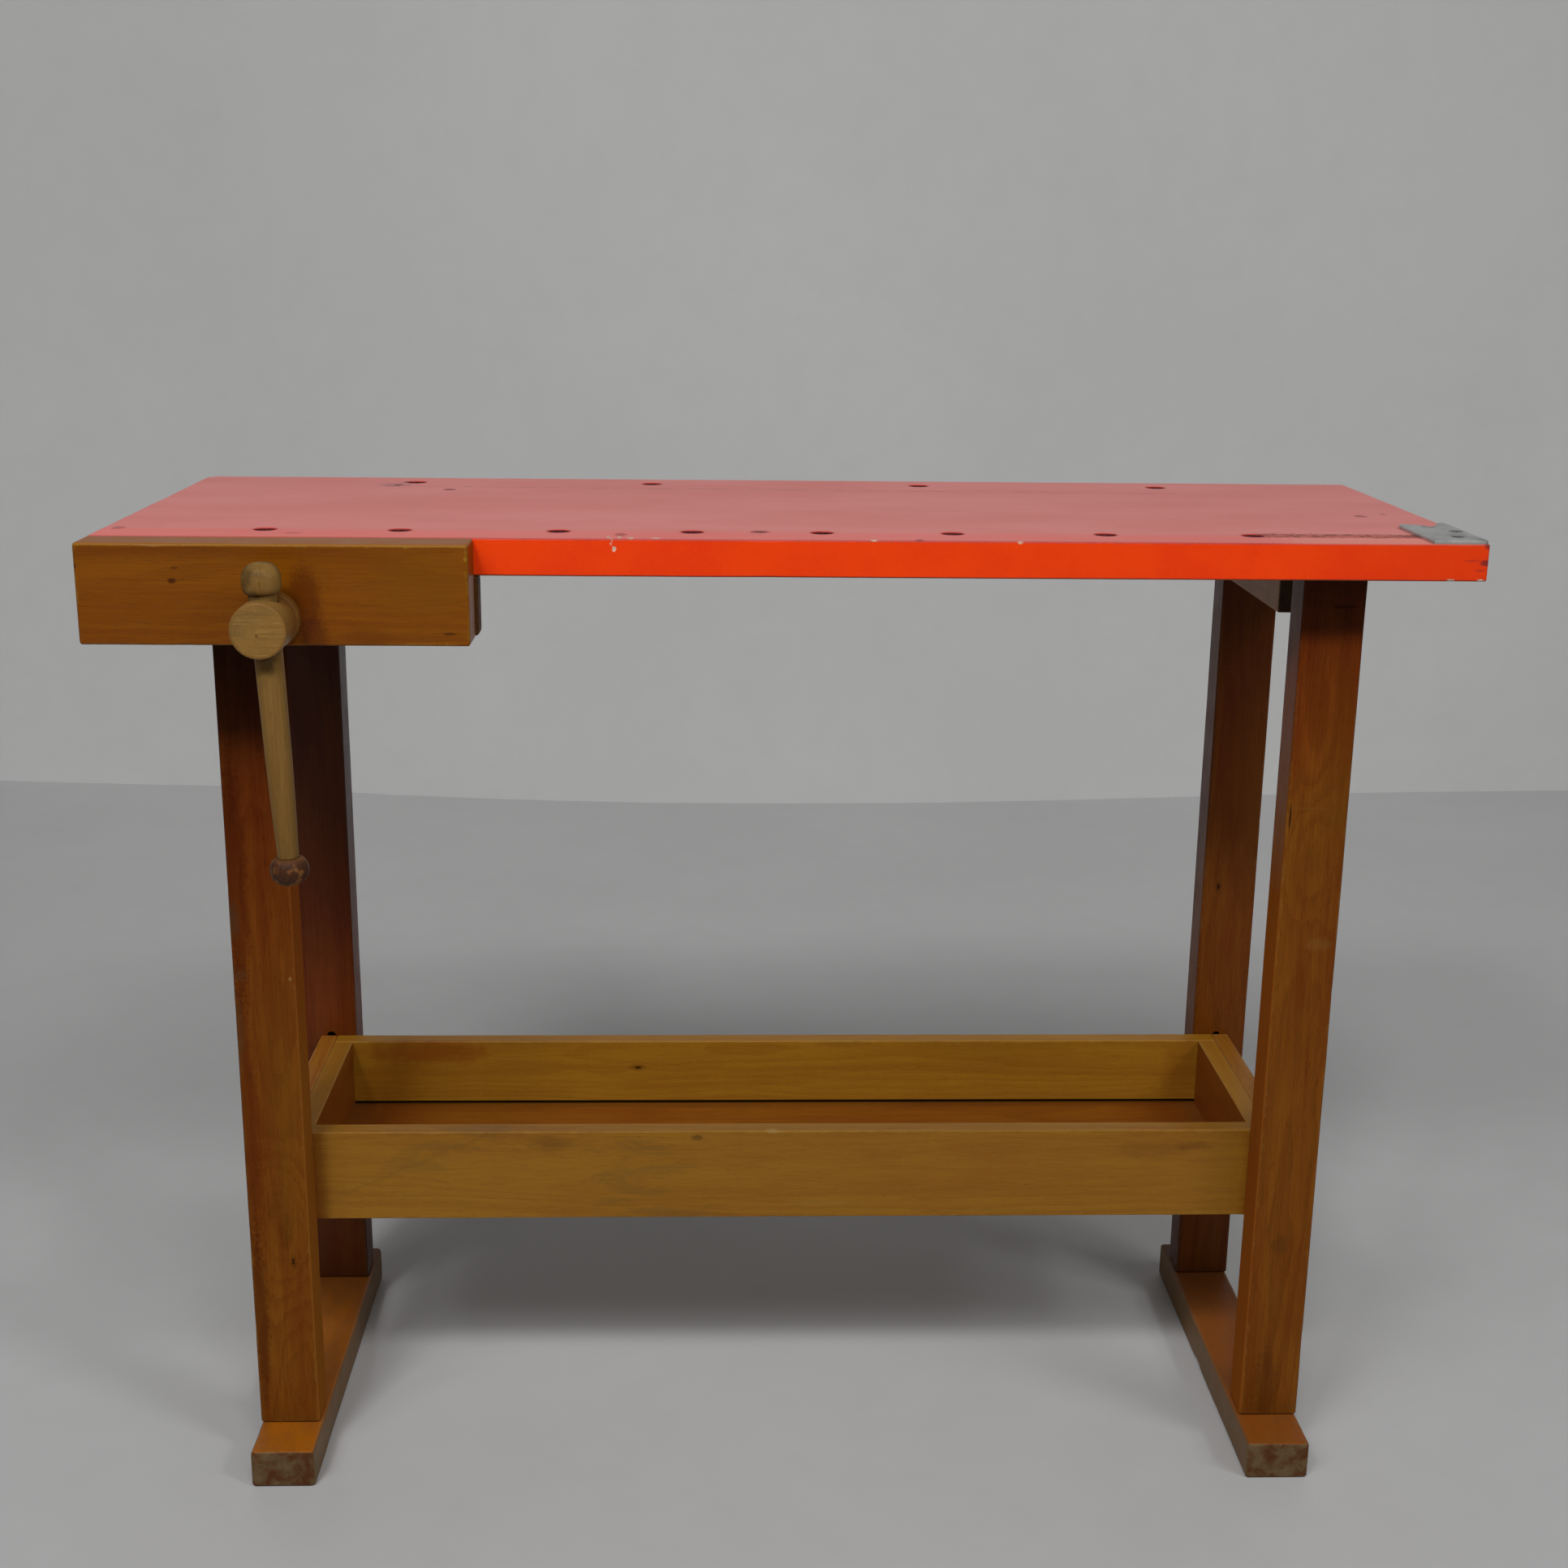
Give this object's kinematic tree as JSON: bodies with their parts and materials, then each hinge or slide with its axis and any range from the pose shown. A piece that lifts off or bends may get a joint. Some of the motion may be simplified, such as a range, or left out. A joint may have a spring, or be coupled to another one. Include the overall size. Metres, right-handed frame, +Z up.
{
  "type": "small wooden workbench",
  "caption": "Low wooden workbench on two footed trestles, with a painted top with peg holes, a front screw vise with a sliding bar handle, and a shallow shelf tray.",
  "frame": {"origin": "on the floor, below the middle of the bounding box, halfway along the bench", "axes": "+X along the worktop to the right as seen from the front, +Y from the vise side to the back, +Z up"},
  "size_m": [1, 0.443, 0.7745],
  "materials": {
    "painted": "worn orange-red paint, faded and dusty on top",
    "plate": "dull worn sheet metal",
    "stained": "reddish-brown varnish, worn on the feet",
    "oiled": "golden-brown varnished softwood with knots",
    "shelf": "yellow-brown varnish",
    "ply": "thin varnished panel",
    "turned": "pale turned hardwood, handled",
    "dark_turned": "dark worn hardwood",
    "steel": "tarnished screws"
  },
  "bodies": {
    "bench": {"worktop": "painted", "corner_plate": "plate", "left_foot": "stained", "left_front_leg": "stained", "left_rear_leg": "stained", "left_lower_rail": "stained", "left_top_cleat": "stained", "right_foot": "stained", "right_front_leg": "stained", "right_rear_leg": "stained", "right_lower_rail": "stained", "right_top_cleat": "stained", "tray_front": "shelf", "tray_rear": "shelf", "tray_left_end": "shelf", "tray_right_end": "shelf", "tray_floor": "ply", "fixed_jaw": "oiled", "plate_screw_a": "steel", "plate_screw_b": "steel", "left_cleat_screw_front": "steel", "left_cleat_screw_rear": "steel", "right_cleat_screw_front": "steel", "right_cleat_screw_rear": "steel", "fixed_jaw_screw_outer": "steel", "fixed_jaw_screw_middle": "steel", "fixed_jaw_screw_inner": "steel", "left_tray_screw_front": "steel", "left_tray_screw_rear": "steel", "right_tray_screw_front": "steel", "right_tray_screw_rear": "steel"},
    "jaw": {"moving_jaw": "oiled", "thrust_collar": "turned", "garter_key": "dark_turned", "guide_rod_left": "turned", "guide_rod_right": "turned"},
    "screw": {"vise_screw": "turned"},
    "handle": {"vise_handle": "turned", "handle_knob": "dark_turned"}
  },
  "joints": [
    {"name": "jaw_slide", "type": "slide", "parent": "bench", "child": "jaw", "axis": [0, -1, 0], "range_m": [0, 0.0858]},
    {"name": "screw_turn", "type": "hinge", "parent": "jaw", "child": "screw", "pos_m": [-0.3655, -0.2, 0.72], "axis": [0, -1, 0], "range_deg": [0, 5130]},
    {"name": "handle_slide", "type": "slide", "parent": "screw", "child": "handle", "axis": [-0.041, 0, 0.9992], "range_m": [0, 0.144]}
  ],
  "couplings": [
    {"joint": "jaw_slide", "follows": "screw_turn", "m_per_rad": 0.00095493}
  ]
}
